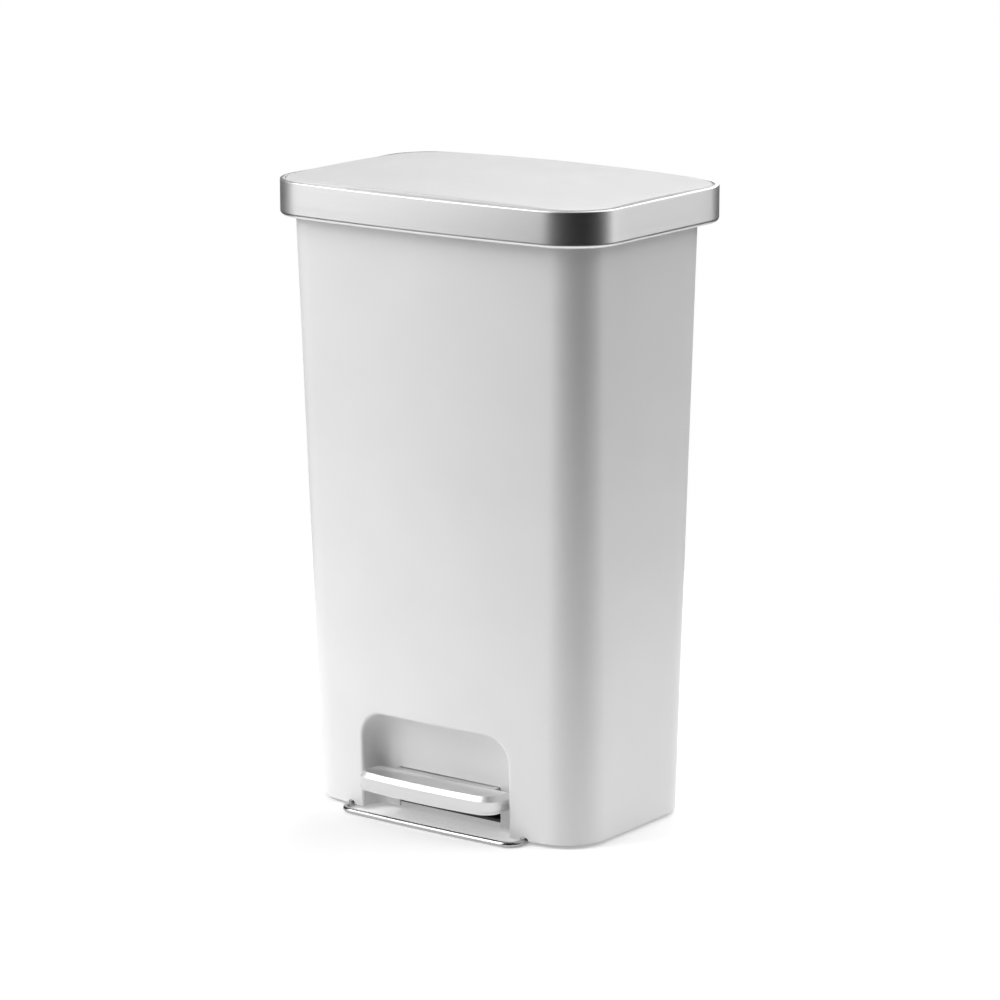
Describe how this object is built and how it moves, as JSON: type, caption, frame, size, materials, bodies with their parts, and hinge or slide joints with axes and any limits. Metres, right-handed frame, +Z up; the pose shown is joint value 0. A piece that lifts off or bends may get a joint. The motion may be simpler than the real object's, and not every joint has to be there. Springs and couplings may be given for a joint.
{
  "type": "pedal bin",
  "caption": "Tall rectangular pedal bin: tapered plastic body, crowned lid in a brushed steel band, steel-faced pedal in an arched recess, wire anti-tip bar, slide lock",
  "frame": {"origin": "On the floor, under the middle of the lid's plan outline", "axes": "+X to the bin's own left-to-right as seen from the front, +Y to the back, +Z up; the pedal is on the -Y side"},
  "size_m": [0.404, 0.277, 0.6566],
  "materials": {
    "white_plastic": "white moulded plastic, fine satin texture",
    "lid_plastic": "white moulded plastic, satin",
    "rim_plastic": "light grey moulded plastic",
    "brushed_steel": "brushed along the band",
    "pedal_steel": "satin pressed steel",
    "chrome_wire": "polished plated wire",
    "zinc_steel": "zinc-plated steel",
    "dark_plastic": "black moulded plastic",
    "nylon": "natural nylon",
    "rubber": "soft black rubber"
  },
  "bodies": {
    "body": {"body_shell": "white_plastic", "base_plate": "dark_plastic", "rubber_feet": "rubber", "base_screws": "zinc_steel", "anti_tip_bar": "chrome_wire", "bar_retainers": "zinc_steel", "pedal_axle": "zinc_steel", "axle_bracket_left": "zinc_steel", "axle_bracket_right": "zinc_steel", "bracket_screws": "zinc_steel", "lever_rest_pad": "rubber", "damper_cylinder": "dark_plastic", "damper_clamp": "dark_plastic", "rod_guide_upper": "nylon", "rod_guide_lower": "nylon", "channel_cover": "white_plastic", "liner_rim": "rim_plastic", "lid_bumpers": "rubber", "hinge_bracket_left": "zinc_steel", "hinge_bracket_right": "zinc_steel", "hinge_pin_left": "zinc_steel", "hinge_pin_right": "zinc_steel", "hinge_screws": "zinc_steel", "lock_catch": "dark_plastic"},
    "lid": {"lid_band": "brushed_steel", "lid_panel": "lid_plastic", "lid_liner": "rim_plastic", "lid_screws": "zinc_steel", "lid_rear_cover": "lid_plastic", "lid_hinge_left": "zinc_steel", "lid_hinge_right": "zinc_steel", "lid_crank": "zinc_steel", "crank_pin": "zinc_steel"},
    "lock": {"lock_slider": "rim_plastic"},
    "pedal": {"pedal_cover": "pedal_steel", "pedal_core": "dark_plastic", "lever_plate": "zinc_steel", "pedal_rivets": "zinc_steel", "pedal_lever": "zinc_steel", "lever_bushes": "nylon"},
    "rod": {"push_rod": "zinc_steel", "rod_pin": "zinc_steel", "rod_eye": "zinc_steel", "damper_piston": "zinc_steel", "damper_arm": "zinc_steel"}
  },
  "joints": [
    {"name": "lid_hinge", "type": "hinge", "parent": "body", "child": "lid", "pos_m": [0, 0.127, 0.625], "axis": [-1, 0, 0], "range_deg": [0, 80]},
    {"name": "pedal_tilt", "type": "hinge", "parent": "body", "child": "pedal", "pos_m": [0, -0.045, 0.033], "axis": [1, 0, 0], "range_deg": [0, 12.67]},
    {"name": "rod_lift", "type": "slide", "parent": "body", "child": "rod", "axis": [0, 0, 1], "range_m": [0, 0.0309]},
    {"name": "lock_slide", "type": "slide", "parent": "lid", "child": "lock", "axis": [-1, 0, 0], "range_m": [0, 0.007]}
  ],
  "couplings": [
    {"joint": "pedal_tilt", "follows": "lid_hinge", "ratio": 0.15816},
    {"joint": "rod_lift", "follows": "lid_hinge", "m_per_rad": 0.022097}
  ]
}
